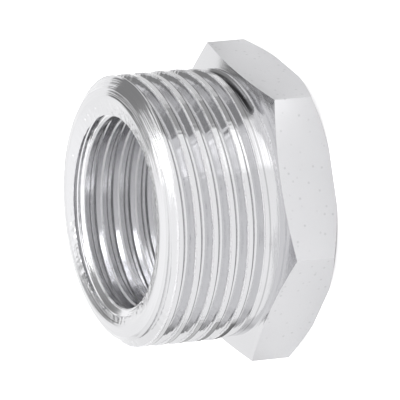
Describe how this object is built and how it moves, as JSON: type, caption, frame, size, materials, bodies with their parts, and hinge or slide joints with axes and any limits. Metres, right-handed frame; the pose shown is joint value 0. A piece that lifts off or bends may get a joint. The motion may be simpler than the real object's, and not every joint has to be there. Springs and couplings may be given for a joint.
{
  "type": "hex bushing",
  "caption": "Plated brass reducing bushing: a hexagon with a collar and a male parallel pipe thread, and a smaller female pipe thread through the bore.",
  "frame": {"origin": "on the axis, at the hexagon's free end face, where the part stands", "axes": "+Z runs along the axis from the hexagon to the male thread's front ring; two of the hexagon's flats face along Y"},
  "size_m": [0.0312, 0.027, 0.0173],
  "materials": {
    "plated_brass": "nickel plating, satin on the hexagon's flats and bright on the turned surfaces"
  },
  "bodies": {
    "root": {"hex_bushing": "plated_brass"}
  },
  "joints": []
}
